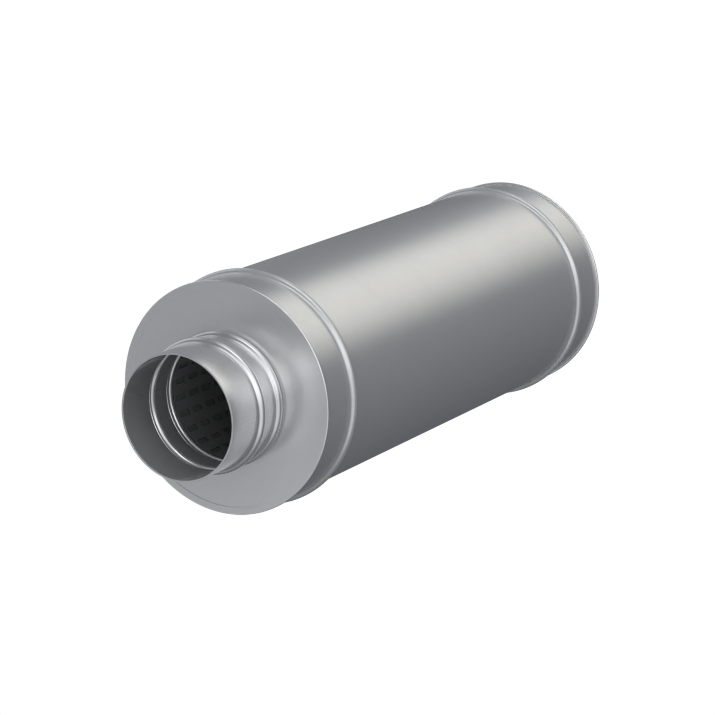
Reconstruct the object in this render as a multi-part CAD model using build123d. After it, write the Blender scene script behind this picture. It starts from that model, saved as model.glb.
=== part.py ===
from build123d import *
import math
import os

# A round duct silencer: a beaded casing closed by two end plates, a beaded spigot through each plate,
# and between the spigots a slotted tube with glass fleece and two mats of mineral wool wrapped round it.
# Millimetres. The duct axis is X with the front mouth towards -X, Z is up, and the origin is on the
# axis half way along. Sections are drawn in the plane of X and radius, then turned about the X axis.

# Casing, rolled from one sheet, with its ends folded over the end plates
casing_radius = 112.5
casing_sheet = 0.7
casing_length = 600.0
casing_bead_inset = 50.8
rim_rise = 2.5
rim_band = 7.5
rim_root_round = 0.8

# Round bead with wide feet, rolled outwards in the casing and in the spigots
bead_rise = 4.8
bead_round = 3.7
bead_foot_round = 2.7

# Lock seam that closes the casing, on its far side and below the middle
seam_width = 9.0
seam_rise = 1.4
seam_angle = -28.0
seam_notch = 2.5

# End plates
plate_sheet = 0.8
plate_edge_gap = 0.1
plate_hole_gap = 0.35

# Spigots, each with a stop bead for the duct and a root bead with a tight foot against its plate
spigot_radius = 62.0
spigot_sheet = 1.8
spigot_reach = 83.0
spigot_bead_pitch = 30.0
root_foot_round = 0.8
spigot_tail_round = 0.3
spigot_tail_width = 4.5

# Slotted tube, with its ends turned out against the spigots' tails
tube_sheet = 0.8
tube_step = 0.2
tube_end_round = 0.5
slot_length = 15.6
slot_width = 6.3
slot_first = 14.7
slot_column_spacing = 22.7
slot_row_spacing = 16.8
slot_turn = -8.9

# Fleece and wool wrapped round the slotted tube
fleece_thickness = 1.0
wrap_gap = 0.15
wrap_end_gap = 0.3
inner_mat_thickness = 24.5
mat_joint_gap = 2.0
inner_mat_joint_angle = 90.0
outer_mat_joint_angle = 270.0

# Places along the axis at the front end, from the outside inwards; the rear end is the mirror image
rim_face = -casing_length / 2
mouth = rim_face - spigot_reach
plate_face = rim_face + casing_sheet
plate_back = plate_face + plate_sheet
rim_back = plate_back + casing_sheet
tail_back = plate_back + spigot_sheet
flange_back = tail_back + tube_sheet
casing_bead = rim_face + casing_bead_inset

# Radii, from the axis outwards
tube_inside = spigot_radius - spigot_sheet + tube_step
tube_radius = tube_inside + tube_sheet
fleece_inside = tube_radius + wrap_gap
inner_mat_inside = fleece_inside + fleece_thickness + wrap_gap
outer_mat_inside = inner_mat_inside + inner_mat_thickness + wrap_gap
tail_radius = spigot_radius + spigot_tail_width
rim_radius = casing_radius + rim_rise
fold_round = (rim_back - rim_face) / 2
fold_centre = rim_radius - fold_round


def foot_reach(foot_round):
    """How far from a bead's middle a foot of this round runs out into the sheet."""
    return math.sqrt((bead_round + foot_round) ** 2 - (foot_round - bead_core) ** 2)


# A bead's round is centred a little above the sheet. The root bead's back foot ends at the plate's face.
bead_core = bead_rise - bead_round
root_bead = plate_face - foot_reach(root_foot_round)
stop_bead = root_bead - spigot_bead_pitch


def arc(centre_x, centre_r, radius, start, sweep):
    """An arc in the section plane, from its start angle through its sweep, in degrees."""
    return CenterArc((centre_x, centre_r), radius, start, sweep)


def line_through(stations):
    """Corner points and arcs in order, with a straight run wherever the next one starts further on."""
    edges = []
    here = None
    for station in stations:
        is_arc = isinstance(station, Edge)
        start = station @ 0 if is_arc else Vector(*station)
        if here is not None and (start - here).length > 1e-6:
            edges.append(Line(here, start))
        if is_arc:
            edges.append(station)
        here = station @ 1 if is_arc else start
    return edges


def closed_section(one_side, other_side):
    """The face between two lines that run the same way, closed by a cut edge at each end."""
    first = line_through(one_side)
    second = line_through(other_side)
    start = Line(first[0] @ 0, second[0] @ 0)
    end = Line(first[-1] @ 1, second[-1] @ 1)
    return make_face(first + second + [start, end])


def both_halves(front_half):
    """A section drawn from the front end to the middle, joined to its mirror image."""
    return front_half + front_half.mirror(Plane.YZ)


def plain_ring(x_start, inside, outside, x_end, joint_gap=0, joint_angle=0):
    """A ring about the axis, left open by a narrow gap where a wrapped mat's ends meet."""
    corners = [(x_start, inside), (x_end, inside), (x_end, outside), (x_start, outside)]
    open_angle = math.degrees(joint_gap / inside)
    ring = revolve(make_face(Polyline(*corners, close=True)), Axis.X, 360 - open_angle)
    return Rot(X=joint_angle + open_angle / 2) * ring


def bead_arcs(middle, surface, depth, back_foot_round=bead_foot_round):
    """The foot, crest and back foot of a bead, on the line that lies depth below the sheet's outer face."""
    reach = foot_reach(bead_foot_round)
    back_reach = foot_reach(back_foot_round)
    lean = math.degrees(math.atan2(bead_core - bead_foot_round, reach))
    back_lean = math.degrees(math.atan2(bead_core - back_foot_round, back_reach))
    foot = bead_foot_round + depth
    back_foot = back_foot_round + depth
    return [
        arc(middle - reach, surface + bead_foot_round, foot, -90, 90 + lean),
        arc(middle, surface + bead_core, bead_round - depth, 180 + lean, -180 - lean - back_lean),
        arc(middle + back_reach, surface + back_foot_round, back_foot, 180 - back_lean, 90 + back_lean),
    ]


def casing_line(depth):
    """From the rim's free edge, round its fold to the casing, over the front bead and on to the middle."""
    return [
        (rim_face + depth, rim_radius - rim_band),
        arc(rim_face + fold_round, fold_centre, fold_round - depth, 180, -180),
        arc(rim_back + rim_root_round, casing_radius + rim_root_round, rim_root_round + depth, 180, 90),
        *bead_arcs(casing_bead, casing_radius, depth),
        (0, casing_radius - depth),
    ]


def seam_top():
    """The lock seam's outer line, from its notched end at the rim over the front bead to the middle."""
    top = casing_radius + seam_rise
    crest_round = bead_round + seam_rise
    lift = math.degrees(math.asin((seam_rise - bead_core) / crest_round))
    start = rim_back + rim_root_round + seam_notch
    return [
        (start, top),
        arc(casing_bead, casing_radius + bead_core, crest_round, 180 - lift, -180 + 2 * lift),
        (0, top),
    ]


def seam_bottom():
    """A line half way into the sheet under the seam, so that the seam and the casing are one piece."""
    depth = casing_sheet / 2
    line = casing_radius - depth
    start = rim_back + rim_root_round + seam_notch
    return [(start, line), *bead_arcs(casing_bead, casing_radius, depth), (0, line)]


def outer_casing():
    """One rolled sheet: folded rims, a bead near each end, and a lock seam that runs over both beads."""
    sheet = revolve(both_halves(closed_section(casing_line(0), casing_line(casing_sheet))), Axis.X)
    seam_arc = math.degrees(seam_width / casing_radius)
    seam = revolve(both_halves(closed_section(seam_top(), seam_bottom())), Axis.X, seam_arc)
    return sheet + Rot(X=seam_angle - seam_arc / 2) * seam


def end_plate():
    """A flat ring held in the fold of the rim, with the spigot through its hole."""
    return plain_ring(plate_face, spigot_radius + plate_hole_gap, fold_centre - plate_edge_gap, plate_back)


def spigot_line(depth):
    """From the mouth over both beads, through the plate, and turned out behind it as a tail."""
    turn_x = plate_back - spigot_tail_round
    turn_r = spigot_radius + spigot_tail_round
    return [
        (mouth, spigot_radius - depth),
        *bead_arcs(stop_bead, spigot_radius, depth),
        *bead_arcs(root_bead, spigot_radius, depth, root_foot_round),
        arc(turn_x, turn_r, spigot_tail_round + depth, -90, 90),
        (plate_back + depth, tail_radius),
    ]


def spigot():
    """A short tube with two beads, locked to its plate between the root bead and the turned-out tail."""
    return revolve(closed_section(spigot_line(0), spigot_line(spigot_sheet)), Axis.X)


def tube_line(depth):
    """From the turned-out end that bears on the spigot's tail, round into the tube and on to the middle."""
    return [
        (flange_back - depth, tail_radius),
        arc(flange_back + tube_end_round, tube_radius + tube_end_round, tube_end_round + depth, 180, 90),
        (0, tube_radius - depth),
    ]


def slot_cutters():
    """One block for each slot: columns of slots along the tube, in rows that are in line all the way."""
    first = rim_face + slot_first
    gaps = round(-2 * first / slot_column_spacing)
    rows = round(2 * math.pi * tube_radius / slot_row_spacing)
    depth = 4 * tube_sheet
    block = Pos(Z=tube_radius - tube_sheet / 2) * Box(slot_length, slot_width, depth)
    return [
        Pos(X=first - 2 * first * column / gaps) * Rot(X=slot_turn - 90 + 360 * row / rows) * block
        for column in range(gaps + 1)
        for row in range(rows)
    ]


def slotted_tube():
    """The inner tube, rolled from a sheet that is punched all over with oblong slots."""
    tube = revolve(both_halves(closed_section(tube_line(0), tube_line(tube_sheet))), Axis.X)
    return tube - slot_cutters()


def glass_fleece():
    """The black fleece that keeps the wool from being blown out through the slots."""
    start = flange_back + tube_end_round + wrap_end_gap
    return plain_ring(start, fleece_inside, fleece_inside + fleece_thickness, -start)


def inner_wool_mat():
    """The first mat, wrapped once round the fleece, with its butt joint on top."""
    start = flange_back + wrap_end_gap
    outside = inner_mat_inside + inner_mat_thickness
    return plain_ring(start, inner_mat_inside, outside, -start, mat_joint_gap, inner_mat_joint_angle)


def outer_wool_mat():
    """The second mat, which fills what is left up to the casing, with its butt joint underneath."""
    start = plate_back + wrap_end_gap
    outside = casing_radius - casing_sheet - wrap_gap
    return plain_ring(start, outer_mat_inside, outside, -start, mat_joint_gap, outer_mat_joint_angle)


front_plate = end_plate()
front_spigot = spigot()
pieces = {
    "outer_casing": outer_casing(),
    "front_end_plate": front_plate,
    "rear_end_plate": front_plate.mirror(Plane.YZ),
    "front_spigot": front_spigot,
    "rear_spigot": front_spigot.mirror(Plane.YZ),
    "slotted_tube": slotted_tube(),
    "glass_fleece": glass_fleece(),
    "inner_wool_mat": inner_wool_mat(),
    "outer_wool_mat": outer_wool_mat(),
}

os.makedirs("parts", exist_ok=True)
for name, piece in pieces.items():
    export_step(piece, f"parts/{name}.step")
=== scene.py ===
import math

import bpy
import numpy as np
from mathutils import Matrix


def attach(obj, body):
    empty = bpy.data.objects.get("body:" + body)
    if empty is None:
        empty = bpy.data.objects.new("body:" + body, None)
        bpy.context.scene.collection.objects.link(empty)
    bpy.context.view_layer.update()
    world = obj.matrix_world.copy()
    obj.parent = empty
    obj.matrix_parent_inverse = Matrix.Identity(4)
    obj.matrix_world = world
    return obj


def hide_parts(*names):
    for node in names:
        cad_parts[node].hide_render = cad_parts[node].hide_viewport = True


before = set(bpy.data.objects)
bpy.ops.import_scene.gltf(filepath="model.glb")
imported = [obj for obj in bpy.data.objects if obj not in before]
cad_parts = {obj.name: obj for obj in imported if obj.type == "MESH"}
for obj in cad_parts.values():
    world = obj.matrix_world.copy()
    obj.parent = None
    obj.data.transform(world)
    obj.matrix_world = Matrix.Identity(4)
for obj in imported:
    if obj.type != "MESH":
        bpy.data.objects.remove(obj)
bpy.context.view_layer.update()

scene = bpy.context.scene
scene.view_settings.view_transform = "Standard"
# Edges a little sharper than they would be unasked, as the photograph's are.
scene.cycles.filter_width = 1.2


# Camera
# A long lens three metres from the silencer, ahead of its front mouth, to one side and a little above, so
# that the far end looks only a little smaller than the near one.
camera = bpy.data.objects.new("camera", bpy.data.cameras.new("camera"))
camera.data.sensor_width = 36.0
camera.data.lens = 143.505
camera.data.clip_start = 0.05
camera.data.clip_end = 100.0
camera.location = (-2.52832, -1.41256, 0.68531)
camera_pitch = -13.754
camera_heading = 29.608
camera.rotation_euler = (math.radians(90 + camera_pitch), 0, math.radians(camera_heading - 90))
scene.collection.objects.link(camera)
scene.camera = camera


# Slotted tube
# The inner tube that the air runs through: one sheet of steel, punched all over with oblong slots, coated
# dark, rolled, and closed edge to edge. Its ends are turned out and bear on the tails of the spigots.

# The casing's fold, the end plate, the spigot's tail and the tube's own end lie sheet on sheet, from the end
# face inwards, and that gives the tube its length.
casing_half = 0.3
casing_sheet = 0.0007
plate_sheet = 0.0008
plate_back = casing_half - casing_sheet - plate_sheet
spigot_radius = 0.062
spigot_sheet = 0.0018
tail_width = 0.0045
tail_radius = spigot_radius + tail_width
tube_step = 0.0002
tube_sheet = 0.0008
tube_inside = spigot_radius - spigot_sheet + tube_step
tube_outside = tube_inside + tube_sheet
tube_end = plate_back - spigot_sheet
tube_end_round = 0.0005
slot_half_length = 0.0078
slot_half_width = 0.00315
slot_corner = 0.0022
slot_inset = 0.0147
slot_first = casing_half - slot_inset
slot_columns = 26
slot_rows = 23
slot_turn = math.radians(-8.9)
# Painted shade on the slots' cut walls: where it begins and where it is full, out from the tube's inner face.
slot_shade_start = 0.00003
slot_shade_full = 0.0001
sharp_edge = math.radians(32)


def put_mesh(name, points, faces):
    """A mesh object of these points and four-cornered faces, smooth but for its sharp edges."""
    mesh = bpy.data.meshes.new(name)
    mesh.vertices.add(len(points))
    mesh.vertices.foreach_set("co", np.ascontiguousarray(points, dtype=np.float32).ravel())
    mesh.loops.add(faces.size)
    mesh.loops.foreach_set("vertex_index", np.ascontiguousarray(faces, dtype=np.int32).ravel())
    mesh.polygons.add(len(faces))
    mesh.polygons.foreach_set("loop_start", np.arange(len(faces), dtype=np.int32) * 4)
    mesh.update(calc_edges=True)
    mesh.validate()
    mesh.shade_smooth()
    mesh.set_sharp_from_angle(angle=sharp_edge)
    piece = bpy.data.objects.new(name, mesh)
    scene.collection.objects.link(piece)
    return piece


def grid_faces(rows, columns, close_rows, close_columns):
    """Faces between neighbours on a grid that is numbered row by row, wrapped round where it closes."""
    row = np.arange(rows if close_rows else rows - 1)[:, None]
    column = np.arange(columns if close_columns else columns - 1)[None, :]
    next_row = (row + 1) % rows
    next_column = (column + 1) % columns
    corners = [row * columns + column, row * columns + next_column,
               next_row * columns + next_column, next_row * columns + column]
    corners = [np.broadcast_to(corner, (row.size, column.size)) for corner in corners]
    return np.stack(corners, axis=-1).reshape(-1, 4)


def merged(points, faces):
    """The same faces with points that coincide made one: points are matched on a grid of a micrometre."""
    micrometres = np.round(points * 1e6).astype(np.int64)
    _, first, index = np.unique(micrometres, axis=0, return_index=True, return_inverse=True)
    return points[first], index.reshape(-1)[faces]


def on_cylinder(x, angle, radius):
    """Points at a place along the axis, an angle round it and a radius: (x, r cos a, r sin a)."""
    x, angle, radius = np.broadcast_arrays(x, angle, radius)
    return np.stack([x, radius * np.cos(angle), radius * np.sin(angle)], axis=-1)


def arc(centre_x, centre_r, radius, start, sweep, steps):
    """Points on an arc: the centre plus the radius times the cosine and sine of evenly spaced angles."""
    angle = np.radians(np.linspace(start, start + sweep, steps + 1))
    return np.column_stack([centre_x + radius * np.cos(angle), centre_r + radius * np.sin(angle)])


def slotted_tube():
    """Each slot has a ring of faces out to its share of the sheet: the share's outline is a rectangle (u, v),
    and the slot's outline is that rectangle shrunk, with each corner point moved onto a round. Both outlines
    are put on the inside and the outside of the sheet and joined through the slot. The sheet's two ends are
    one bent section turned about the axis."""
    along = np.array([-1, -0.88, -0.72, -0.25, 0.25, 0.72, 0.88])
    across = np.array([-1, -0.72, -0.30, 0.30, 0.72])
    one = np.ones_like
    u = np.concatenate([along, one(across), -along, -one(across)])
    v = np.concatenate([-one(along), across, one(along), -across])
    corner_x = slot_half_length - slot_corner
    corner_y = slot_half_width - slot_corner
    inner_x = np.clip(u * slot_half_length, -corner_x, corner_x)
    inner_y = np.clip(v * slot_half_width, -corner_y, corner_y)
    off_x = u * slot_half_length - inner_x
    off_y = v * slot_half_width - inner_y
    off = np.hypot(off_x, off_y)
    slot_x = inner_x + slot_corner * off_x / off
    slot_y = inner_y + slot_corner * off_y / off

    pitch = 2 * slot_first / (slot_columns - 1)
    turn = 2 * math.pi / slot_rows
    middle = (tube_inside + tube_outside) / 2
    column = (np.arange(slot_columns) * pitch - slot_first)[:, None, None, None]
    row = (np.arange(slot_rows) * turn + slot_turn)[None, :, None, None]
    radius = np.array([tube_inside, tube_outside])[:, None]
    slot = on_cylinder(column + slot_x, row + slot_y / middle, radius)
    share = on_cylinder(column + u * pitch / 2, row + v * turn / 2, radius)
    loops = np.stack([share[:, :, 0], slot[:, :, 0], slot[:, :, 1], share[:, :, 1]], axis=2)
    loop_faces = grid_faces(4, len(u), False, True)
    slot_start = (np.arange(slot_columns * slot_rows) * 4 * len(u))[:, None, None]
    points = [loops.reshape(-1, 3)]
    faces = [(slot_start + loop_faces).reshape(-1, 4)]

    edge = slot_first + pitch / 2
    bend_x = tube_end - tube_sheet - tube_end_round
    bend_r = tube_outside + tube_end_round
    section = np.vstack([
        [[edge, tube_outside]],
        arc(bend_x, bend_r, tube_end_round, -90, 90, 6),
        [[tube_end - tube_sheet, tail_radius], [tube_end, tail_radius]],
        arc(bend_x, bend_r, tube_end_round + tube_sheet, 0, -90, 6),
        [[edge, tube_inside]],
    ])
    angles = (np.arange(slot_rows)[:, None] * turn + across[None, :] * turn / 2).ravel() + slot_turn
    end_faces = grid_faces(len(section), len(angles), False, True)
    for side in (-1, 1):
        faces.append((end_faces if side > 0 else end_faces[:, ::-1]) + sum(len(p) for p in points))
        points.append(on_cylinder(side * section[:, :1], angles[None, :], section[:, 1:]).reshape(-1, 3))
    return merged(np.vstack(points), np.vstack(faces))


tube = put_mesh("slotted_tube_sheet", *slotted_tube())
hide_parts("slotted_tube")
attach(tube, "root")


def feed(tree, node, values):
    """Gives the node's inputs these values, or links them to these sockets."""
    for label, value in values.items():
        if isinstance(value, bpy.types.NodeSocket):
            tree.links.new(value, node.inputs[label])
        else:
            node.inputs[label].default_value = value


def add(tree, kind, values=None, **settings):
    """A node of this kind in the tree, with settings on the node and values or links on its inputs."""
    node = tree.nodes.new("ShaderNode" + kind)
    for label, value in settings.items():
        setattr(node, label, value)
    feed(tree, node, values or {})
    return node


def worked_out(tree, operation, *numbers):
    """The result of an arithmetic node of this kind on these values or links."""
    return add(tree, "Math", dict(enumerate(numbers)), operation=operation).outputs[0]


def ranged(tree, number, from_min=0.0, from_max=1.0, to_min=0.0, to_max=1.0, curve="LINEAR"):
    """The number carried over from one range to another, and held inside it."""
    ends = {"From Min": from_min, "From Max": from_max, "To Min": to_min, "To Max": to_max}
    return add(tree, "MapRange", {"Value": number, **ends}, interpolation_type=curve).outputs["Result"]


def noise(tree, place, scale, detail, **more):
    """An uneven pattern from 0 to 1: scale is how many of its lumps go to a metre, and detail how many finer
    patterns lie on the first."""
    values = {"Vector": place, "Scale": scale, "Detail": detail, **more}
    return add(tree, "TexNoise", values).outputs["Fac"]


def two_tones(tree, pattern, dark, light, start=0.0, end=1.0):
    """The pattern in colours, from dark where it is at its start to light where it is at its end."""
    ramp = add(tree, "ValToRGB", {"Fac": pattern})
    for stop, place, tone in zip(ramp.color_ramp.elements, (start, end), (dark, light)):
        stop.position = place
        stop.color = (*tone, 1)
    return ramp.outputs["Color"]


def blended(tree, share, first, second):
    """The first colour giving way to the second by this share. A Mix node takes colours as its inputs 6 and
    7, and gives one as its output 2."""
    return add(tree, "Mix", {"Factor": share, 6: first, 7: second}, data_type="RGBA").outputs[2]


def bumped(tree, height, strength, distance):
    """The normal of a surface that this height raises, up to the distance in metres."""
    return add(tree, "Bump", {"Height": height, "Strength": strength, "Distance": distance}).outputs["Normal"]


def new_group(name, inputs, outputs):
    """A shader group with nothing in it yet but its inputs and outputs, each with a name and a kind."""
    group = bpy.data.node_groups.new(name, "ShaderNodeTree")
    for way, sockets in (("INPUT", inputs), ("OUTPUT", outputs)):
        for label, kind in sockets.items():
            group.interface.new_socket(label, in_out=way, socket_type="NodeSocket" + kind)
    return group, group.nodes.new("NodeGroupInput").outputs, group.nodes.new("NodeGroupOutput")


# Where a point is on a sheet that is rolled round the duct axis: metres along, metres round, metres out.
rolled, given, result = new_group("rolled_sheet_place", {"Place": "Vector"}, {"Unrolled": "Vector"})
spot = add(rolled, "SeparateXYZ", {"Vector": given["Place"]}).outputs
squares = [worked_out(rolled, "POWER", spot[way], 2.0) for way in ("Y", "Z")]
out_from_axis = worked_out(rolled, "SQRT", worked_out(rolled, "ADD", *squares))
angle = worked_out(rolled, "ARCTAN2", spot["Z"], spot["Y"])
round_axis = worked_out(rolled, "MULTIPLY", angle, out_from_axis)
joined = add(rolled, "CombineXYZ", {"X": spot["X"], "Y": round_axis, "Z": out_from_axis})
feed(rolled, result, {"Unrolled": joined.outputs["Vector"]})


def new_material(name):
    """A material with its Principled shader, and the place of each point on the object."""
    material = bpy.data.materials.new(name)
    material.use_nodes = True
    tree = material.node_tree
    return material, tree, tree.nodes["Principled BSDF"], add(tree, "TexCoord").outputs["Object"]


def unrolled_place(tree, place):
    """Metres along, metres round and metres out for each point on a sheet rolled round the duct axis."""
    return add(tree, "Group", {"Place": place}, node_tree=rolled).outputs["Unrolled"]


def finish_on(piece, material):
    """Gives the piece this one material."""
    piece.data.materials.clear()
    piece.data.materials.append(material)


# Dark stove coating on the punched sheet: an even near-black. The slots' cut walls, which begin just outside
# the tube's inner face, are painted blacker still: painted shade, standing in for the shade inside the cuts.
dark_coat_and_slot_shade, tree, shader, place = new_material("dark_coated_sheet_and_slot_shade")
speck = noise(tree, place, 900.0, 3.0)
coat = two_tones(tree, speck, (0.14, 0.14, 0.143), (0.2, 0.2, 0.205), 0.3, 0.75)
out_from_axis = add(tree, "SeparateXYZ", {"Vector": unrolled_place(tree, place)}).outputs["Z"]
# Painted shade: this mask darkens the slots' cut walls to near-black, as the shade inside the cuts.
painted_slot_shade = ranged(tree, out_from_axis, tube_inside + slot_shade_start, tube_inside + slot_shade_full)
feed(tree, shader, {
    "Base Color": blended(tree, painted_slot_shade, coat, (0.03, 0.03, 0.03, 1)),
    "Roughness": ranged(tree, speck, to_min=0.42, to_max=0.6),
    "Specular IOR Level": 0.3,
    "Normal": bumped(tree, speck, 0.15, 0.0001),
})
finish_on(tube, dark_coat_and_slot_shade)


# Glass fleece
# A thin black fleece of glass fibres, wrapped tight round the slotted tube. It shows through the slots and
# keeps the air stream from pulling fibres out of the wool.
wrap_gap = 0.00015
wrap_end_gap = 0.0003
fleece_thickness = 0.001
fleece_inside = tube_outside + wrap_gap
fleece_half = tube_end - tube_sheet - tube_end_round - wrap_end_gap
fleece_stations = 221
fleece_steps_round = 180
dent_depth = 0.00035
dent_seed = 4
dent_waves = 24
shortest_dent = 0.02
most_dents_round = 40


def dents(along, around):
    """A height from 0 to 1 over a rolled sheet: a sum of waves with whole numbers of turns round the axis."""
    draw = np.random.default_rng(dent_seed)
    height = np.zeros(np.broadcast(along, around).shape)
    for _ in range(dent_waves):
        turns = draw.integers(1, most_dents_round)
        length = draw.uniform(shortest_dent, 5 * shortest_dent)
        height = height + np.sin(turns * around + 2 * math.pi * along / length + draw.uniform(0, 2 * math.pi))
    return 0.5 + 0.5 * height / np.abs(height).max()


def fleece_wrap():
    """Inner and outer faces of the wrap as one closed grid: a section line (x, r) turned round the axis, its
    inner face pressed out from the tube by a small uneven height."""
    x = np.linspace(-fleece_half, fleece_half, fleece_stations)
    angles = np.linspace(0, 2 * math.pi, fleece_steps_round, endpoint=False)
    pressed = fleece_inside + dent_depth * dents(x[:, None], angles[None, :])
    inside = on_cylinder(x[:, None], angles[None, :], pressed)
    outside = on_cylinder(x[::-1, None], angles[None, :], fleece_inside + fleece_thickness)
    points = np.vstack([inside.reshape(-1, 3), outside.reshape(-1, 3)])
    return points, grid_faces(2 * len(x), len(angles), True, True)


fleece = put_mesh("glass_fleece_wrap", *fleece_wrap())
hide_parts("glass_fleece")
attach(fleece, "root")

black_fleece, tree, shader, place = new_material("black_glass_fleece")
fibres = noise(tree, place, 2200.0, 4.0, Distortion=1.5)
feed(tree, shader, {
    "Base Color": two_tones(tree, fibres, (0.11, 0.11, 0.11), (0.17, 0.17, 0.17)),
    "Roughness": 0.95,
    "Specular IOR Level": 0.2,
    "Normal": bumped(tree, fibres, 0.6, 0.0003),
})
finish_on(fleece, black_fleece)


# Wool mats
# Two mats of mineral wool, wrapped one over the other, fill the space between the fleece and the casing. They
# are closed in on all sides, so they keep the shape of the model's solids.
wool, tree, shader, place = new_material("mineral_wool")
layers = add(tree, "Mapping", {"Vector": place, "Scale": (1.0, 3.0, 3.0)}).outputs["Vector"]
fibres = noise(tree, layers, 160.0, 8.0, Roughness=0.7)
feed(tree, shader, {
    "Base Color": two_tones(tree, fibres, (0.28, 0.22, 0.09), (0.62, 0.55, 0.32)),
    "Roughness": 0.95,
    "Normal": bumped(tree, fibres, 0.8, 0.001),
})
for name in ("inner_wool_mat", "outer_wool_mat"):
    finish_on(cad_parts[name], wool)


# Spigots
# A short tube of bright galvanised sheet at each end, which the duct is pushed over. A rolled stop bead halts
# the duct, and a second bead bears on the end plate, whose back the tube's turned-out tail grips.
spigot_reach = 0.083
mouth = casing_half + spigot_reach
bead_rise = 0.0048
bead_round = 0.0037
bead_core = bead_rise - bead_round
bead_foot = 0.0027
root_back_foot = 0.0008
bead_pitch = 0.03
tail_round = 0.0003
cut_edge_round = 0.00025
long_run = 0.0008
rest_from_end = 0.00015
steps_round = 288


def foot_reach(foot):
    """How far from a bead's middle a foot of this round begins. The two arcs touch, so their centres are one
    radius plus the other apart, and the reach is that distance's share along the sheet."""
    return math.sqrt((bead_round + foot) ** 2 - (foot - bead_core) ** 2)


root_bead = casing_half - casing_sheet + foot_reach(root_back_foot)
stop_bead = root_bead + bead_pitch


def bead(middle, surface, depth, back_foot=bead_foot, steps=20):
    """Foot, crest and back foot of a rolled bead, on the line that lies depth below the sheet's outer face.
    Each arc ends where the next begins, on the line that joins their centres, and lean is that line's rise
    over the sheet."""
    reach, back_reach = foot_reach(bead_foot), foot_reach(back_foot)
    lean = math.degrees(math.atan2(bead_core - bead_foot, reach))
    back_lean = math.degrees(math.atan2(bead_core - back_foot, back_reach))
    return np.vstack([
        arc(middle - reach, surface + bead_foot, bead_foot + depth, -90, 90 + lean, steps // 2),
        arc(middle, surface + bead_core, bead_round - depth, 180 + lean, -180 - lean - back_lean,
            2 * steps)[1:],
        arc(middle + back_reach, surface + back_foot, back_foot + depth, 180 - back_lean, 90 + back_lean,
            steps // 2)[1:],
    ])


def with_rests(line):
    """The same line with a point near each end of every long run, so that a flat run looks flat."""
    here, there = line[:-1], line[1:]
    length = np.hypot(*(there - here).T)
    is_long = length > long_run
    rest = (there - here) * rest_from_end / np.maximum(length, long_run)[:, None]
    stations = np.stack([here, here + rest, there - rest], axis=1)
    kept = np.column_stack([np.ones_like(is_long), is_long, is_long])
    return np.vstack([stations[kept], line[-1:]])


def turned(section, side=1):
    """A closed section (x, r) turned round the axis as a closed grid. Side -1 mirrors it end for end."""
    angles = np.linspace(0, 2 * math.pi, steps_round, endpoint=False)
    points = on_cylinder(side * section[:, :1], angles[None, :], section[:, 1:])
    faces = grid_faces(len(section), steps_round, True, True)
    return points.reshape(-1, 3), faces if side > 0 else faces[:, ::-1]


def spigot_face(depth):
    """The sheet's line at this depth, over both beads and out into the tail. It is drawn for the front
    spigot, where the mouth points to -X, and mirrored to the rear."""
    front = np.vstack([
        bead(-stop_bead, spigot_radius, depth),
        bead(-root_bead, spigot_radius, depth, root_back_foot),
        arc(tail_round - plate_back, spigot_radius + tail_round, tail_round + depth, -90, 90, 8),
        [[-plate_back + depth, tail_radius]],
    ])
    return front * (-1, 1)


def spigot_section():
    """Round the cut edge at the mouth, along the sheet's outer face to the tail, and back along its inner
    face, at the rear end."""
    edge = cut_edge_round
    return with_rests(np.vstack([
        arc(mouth - edge, spigot_radius - spigot_sheet + edge, edge, -90, 90, 4),
        arc(mouth - edge, spigot_radius - edge, edge, 0, 90, 4),
        spigot_face(0),
        spigot_face(spigot_sheet)[::-1],
    ]))


spigots = {}
for name, side in (("front_spigot", -1), ("rear_spigot", 1)):
    spigots[name] = put_mesh(name + "_sheet", *turned(spigot_section(), side))
    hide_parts(name)
    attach(spigots[name], "root")

# What rolled, zinc-coated sheet shows close up: faint flakes of zinc, soft clouds, fine grain, and lines
# along the way it was rolled. Place is where the point is on the flat sheet, in metres, with X along the
# rolling.
zinc, given, result = new_group(
    "zinc_coated_sheet",
    {"Place": "Vector", "Light": "Color", "Dark": "Color", "Smooth": "Float", "Rough": "Float",
     "Relief": "Float"},
    {"Color": "Color", "Roughness": "Float", "Normal": "Vector"})
flakes = add(zinc, "TexVoronoi", {"Vector": given["Place"], "Scale": 140.0}).outputs["Color"]
flakes = add(zinc, "SeparateColor", {"Color": flakes}).outputs["Red"]
clouds = noise(zinc, given["Place"], 22.0, 3.0)
grain = noise(zinc, given["Place"], 1500.0, 2.0)
drawn_out = add(zinc, "Mapping", {"Vector": given["Place"], "Scale": (6.0, 700.0, 700.0)}).outputs["Vector"]
lines = noise(zinc, drawn_out, 1.0, 3.0)
pattern = 0.0
for source, share in ((flakes, 0.16), (clouds, 0.4), (grain, 0.22), (lines, 0.22)):
    pattern = worked_out(zinc, "MULTIPLY_ADD", source, share, pattern)
pattern = ranged(zinc, pattern, 0.3, 0.7)
feed(zinc, result, {
    "Color": blended(zinc, pattern, given["Dark"], given["Light"]),
    "Roughness": ranged(zinc, pattern, to_min=given["Rough"], to_max=given["Smooth"]),
    "Normal": bumped(zinc, worked_out(zinc, "ADD", grain, lines), given["Relief"], 0.00002),
})


def zinc_material(name, light, dark, smooth, rough, relief, metallic):
    """Zinc-coated sheet with two tones of grey, roughness from smooth to rough, and strength of relief. The
    place on the sheet is turned a quarter, so that its rolling lines run round the duct axis."""
    material, tree, shader, place = new_material(name)
    quarter_turn = (0, 0, math.radians(90))
    across = add(tree, "Mapping", {"Vector": unrolled_place(tree, place), "Rotation": quarter_turn})
    look = add(tree, "Group", {
        "Place": across.outputs["Vector"],
        "Light": (light, light, light, 1),
        "Dark": (dark, dark, dark, 1),
        "Smooth": smooth,
        "Rough": rough,
        "Relief": relief,
    }, node_tree=zinc).outputs
    feed(tree, shader, {"Base Color": look["Color"], "Roughness": look["Roughness"],
                        "Normal": look["Normal"], "Metallic": metallic})
    return material


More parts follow.
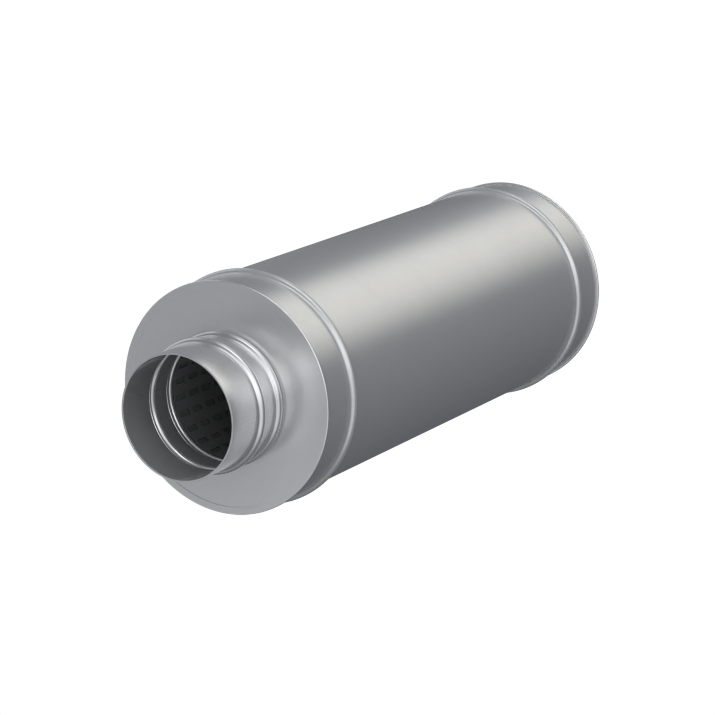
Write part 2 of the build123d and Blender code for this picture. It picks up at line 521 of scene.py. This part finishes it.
spigot_zinc = zinc_material("spigot_zinc_sheet", 0.7, 0.65, 0.16, 0.22, 0.04, 0.72)
for piece in spigots.values():
    finish_on(piece, spigot_zinc)


# End plates
# Flat pressed rings of the same sheet, held round the outside by the casing's folded rim and round the hole
# between the spigot's root bead and its tail. The model's own rings are exact, so they keep their shape.
plate_zinc = zinc_material("plate_zinc_sheet", 0.75, 0.71, 0.2, 0.26, 0.06, 0.66)
for name in ("front_end_plate", "rear_end_plate"):
    finish_on(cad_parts[name], plate_zinc)


# Outer casing
# One galvanised sheet rolled to a tube and closed by a lock seam on its far side, with a bead rolled near
# each end and its edges folded in over the end plates.
casing_radius = 0.1125
casing_bead_inset = 0.0508
casing_bead = casing_half - casing_bead_inset
rim_rise = 0.0025
rim_radius = casing_radius + rim_rise
rim_band = 0.0075
rim_back = plate_back - casing_sheet
rim_root_round = 0.0008
fold_round = (casing_half - rim_back) / 2
seam_width = 0.009
seam_rise = 0.0014
seam_angle = math.radians(-28.0)
seam_notch = 0.0025
seam_root_depth = 0.0003
seam_underside_depth = 0.0005
seam_bead_reach = 0.0075
seam_bead_stations = 61
seam_flat_stations = (0.2, 0.1)
seam_end_step = 0.0001


def casing_face(depth, steps):
    """The line from the front rim's free edge, over its fold and the bead, to the same at the rear."""
    fold = -casing_half + fold_round
    root = -rim_back + rim_root_round
    front = np.vstack([
        [[-casing_half + depth, rim_radius - rim_band]],
        arc(fold, rim_radius - fold_round, fold_round - depth, 180, -180, 2 * steps),
        arc(root, casing_radius + rim_root_round, rim_root_round + depth, 180, 90, steps),
        bead(-casing_bead, casing_radius, depth, steps=steps),
    ])
    return np.vstack([front, front[::-1] * (-1, 1)])


def casing_section():
    """Inner face from front to rear and outer face back, closed by a cut edge at each rim. The inner face
    isn't seen, so its arcs have fewer steps."""
    return with_rests(np.vstack([casing_face(casing_sheet, 8), casing_face(0, 14)[::-1]]))


def circle_height(away, radius):
    """A circle's height this far from its middle: the root of radius squared less away squared."""
    return np.sqrt(np.clip(radius ** 2 - away ** 2, 0, None))


def lock_seam():
    """A flat-topped strip laid over the casing's line. Each station x has the sheet's height and the strip's
    top, both a flat run with a circle's height over the bead, and the strip's section blends from one to the
    other over its rounded shoulders. Its underside lies inside the sheet, and a cap of five faces closes
    each end."""
    start = rim_back - rim_root_round - seam_notch
    near_bead = casing_bead + np.linspace(seam_bead_reach, -seam_bead_reach, seam_bead_stations)
    half = np.concatenate([[start, start - seam_end_step], near_bead, seam_flat_stations])
    x = np.concatenate([half, [0.0], -half[::-1]])
    away = np.abs(np.abs(x) - casing_bead)
    bead_line = np.where(away < bead_round, circle_height(away, bead_round) + bead_core, 0)
    sheet = casing_radius + bead_line - seam_root_depth
    top = casing_radius + np.maximum(circle_height(away, bead_round + seam_rise) + bead_core, seam_rise)

    # Across goes from edge to edge over the top and back under it. Lift is the share of the way from the
    # sheet to the top.
    across = np.array([-1, -0.97, -0.9, -0.8, -0.7, 0, 0.7, 0.8, 0.9, 0.97, 1, 1, 0, -1])
    lift = np.array([0, 0.55, 0.85, 0.98, 1, 1, 1, 0.98, 0.85, 0.55, 0, 0, 0, 0])
    top_points = 11
    underside = np.arange(len(across)) >= top_points
    sunk = (seam_underside_depth - seam_root_depth) * underside
    radius = sheet[:, None] + lift * (top - sheet)[:, None] - sunk
    angle = seam_angle + across * seam_width / 2 / casing_radius
    points = on_cylinder(x[:, None], angle[None, :], radius)
    faces = grid_faces(len(x), len(across), False, True)

    left = np.arange(top_points // 2)
    right = top_points - 1 - left
    cap = np.column_stack([left[:-1], right[:-1], right[1:], left[1:]])
    cap = np.vstack([cap, [[len(across) - 1, len(across) - 2, top_points - 1, 0]]])
    rear_cap = cap[:, ::-1]
    front_cap = cap + (len(x) - 1) * len(across)
    return points.reshape(-1, 3), np.vstack([faces, rear_cap, front_cap])


sheet_points, sheet_faces = turned(casing_section())
seam_points, seam_faces = lock_seam()
casing = put_mesh("outer_casing_sheet", np.vstack([sheet_points, seam_points]),
                  np.vstack([sheet_faces, seam_faces + len(sheet_points)]))
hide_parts("outer_casing")
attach(casing, "root")
casing_zinc = zinc_material("casing_zinc_sheet", 0.61, 0.58, 0.2, 0.26, 0.06, 0.48)
finish_on(casing, casing_zinc)

# The folded rims lie in one plane with the end plates' faces and have their finish.
casing.data.materials.append(plate_zinc)
middles = np.empty(3 * len(casing.data.polygons))
casing.data.polygons.foreach_get("center", middles)
casing.data.polygons.foreach_set("material_index", (np.abs(middles[0::3]) > rim_back).astype(np.int32))


# Floor and light
# A plain white floor under the silencer, and a dim room in which nine large soft panels stand far off, so
# that their reflections run straight along the sheet. Only the camera sees the floor: it takes no shadow,
# and the light of the panels below comes through it.
floor_gap = 0.00005
floor_level = -(casing_radius + bead_rise + floor_gap)
floor_half = 30.0
corners = np.array([[-1, -1], [1, -1], [1, 1], [-1, 1]]) * floor_half
floor = put_mesh("floor", np.column_stack([corners, np.full(4, floor_level)]), np.array([[0, 1, 2, 3]]))
floor_paint = bpy.data.materials.new("white_floor")
floor_paint.use_nodes = True
tree = floor_paint.node_tree
tree.nodes.remove(tree.nodes["Principled BSDF"])
white = add(tree, "Emission", {"Color": (1, 1, 1, 1), "Strength": 1.0}).outputs["Emission"]
clear = add(tree, "BsdfTransparent").outputs["BSDF"]
from_above = worked_out(tree, "SUBTRACT", 1.0, add(tree, "NewGeometry").outputs["Backfacing"])
to_camera = add(tree, "LightPath").outputs["Is Camera Ray"]
shown = worked_out(tree, "MULTIPLY", to_camera, from_above)
paint = add(tree, "MixShader", {0: shown, 1: clear, 2: white}).outputs["Shader"]
feed(tree, tree.nodes["Material Output"], {"Surface": paint})
finish_on(floor, floor_paint)

# The room is white to the camera, and dim to the metal.
world = bpy.data.worlds.new("dim_room")
world.use_nodes = True
scene.world = world
tree = world.node_tree
tree.nodes.remove(tree.nodes["Background"])
dim = add(tree, "Background", {"Color": (0.108, 0.115, 0.131, 1)}).outputs["Background"]
white = add(tree, "Background", {"Color": (1, 1, 1, 1)}).outputs["Background"]
to_camera = add(tree, "LightPath").outputs["Is Camera Ray"]
room = add(tree, "MixShader", {0: to_camera, 1: dim, 2: white}).outputs["Shader"]
feed(tree, tree.nodes["World Output"], {"Surface": room})

# The share of a panel's light at each spot on it: nothing at the panel's edge, and rising smoothly to the
# whole of it at the part of the width, and of the height, that Across and Up give.
edges, given, result = new_group("soft_panel_edges", {"Across": "Float", "Up": "Float"}, {"Share": "Float"})
spot = add(edges, "SeparateXYZ", {"Vector": add(edges, "NewGeometry").outputs["Parametric"]}).outputs
shares = []
for way, fade in ((spot["X"], given["Across"]), (spot["Y"], given["Up"])):
    off_middle = worked_out(edges, "ABSOLUTE", worked_out(edges, "SUBTRACT", way, 0.5))
    to_edge = worked_out(edges, "SUBTRACT", 0.5, off_middle)
    shares.append(ranged(edges, to_edge, from_max=fade, curve="SMOOTHSTEP"))
feed(edges, result, {"Share": worked_out(edges, "MULTIPLY", *shares)})


def panel(name, heading, rise, width, height, brightness, tint, fade=0.5):
    """A soft panel thirty metres off, at a heading from +X towards +Y and a rise over the horizon, that faces
    the silencer. Width, height and fade are shares of its distance: the light falls away over the fade at
    each edge, and is down to half where the width and the height end. Its power is pi times its area, so
    that its radiance is the brightness."""
    distance = 30.0
    heading, rise = math.radians(heading), math.radians(rise)
    light = bpy.data.lights.new(name, "AREA")
    light.shape = "RECTANGLE"
    light.size = (width + fade) * distance
    light.size_y = (height + fade) * distance
    light.energy = math.pi * light.size * light.size_y
    light.color = tint
    light.use_nodes = True
    tree = light.node_tree
    fades = {"Across": fade / (width + fade), "Up": fade / (height + fade)}
    share = add(tree, "Group", fades, node_tree=edges).outputs["Share"]
    feed(tree, tree.nodes["Emission"], {"Strength": worked_out(tree, "MULTIPLY", share, brightness)})
    lamp = bpy.data.objects.new(name, light)
    level = distance * math.cos(rise)
    lamp.location = (level * math.cos(heading), level * math.sin(heading), distance * math.sin(rise))
    lamp.rotation_euler = (math.radians(90) - rise, 0, heading + math.radians(90))
    lamp.visible_camera = False
    scene.collection.objects.link(lamp)


# The nine panels, placed for the bright bands and the bright sides that the sheet shows.
warm = (1.0, 0.975, 0.9)
plain = (0.98, 0.99, 1.0)
cool = (0.93, 0.965, 1.0)
panel("back_key", -18, 31.5, 0.78, 0.46, 1.38, warm)
panel("overhead_strip", 4, 85, 0.4, 2.4, 0.7, plain)
panel("right_high", 234, 38, 0.88, 1.36, 1.22, plain)
panel("right_low", 212, -8, 0.88, 1.2, 0.68, plain)
panel("front", 185, 8, 0.54, 0.44, 2.2, plain)
panel("front_top", 190, 57, 0.6, 0.15, 3.3, plain, fade=0.25)
panel("low_strip", 130, -32, 3.2, 0.4, 0.78, plain)
panel("left_wall", 82, 5, 1.9, 2.4, 0.55, cool)
panel("far_end", 8, 7, 0.15, 0.45, 2.2, plain)
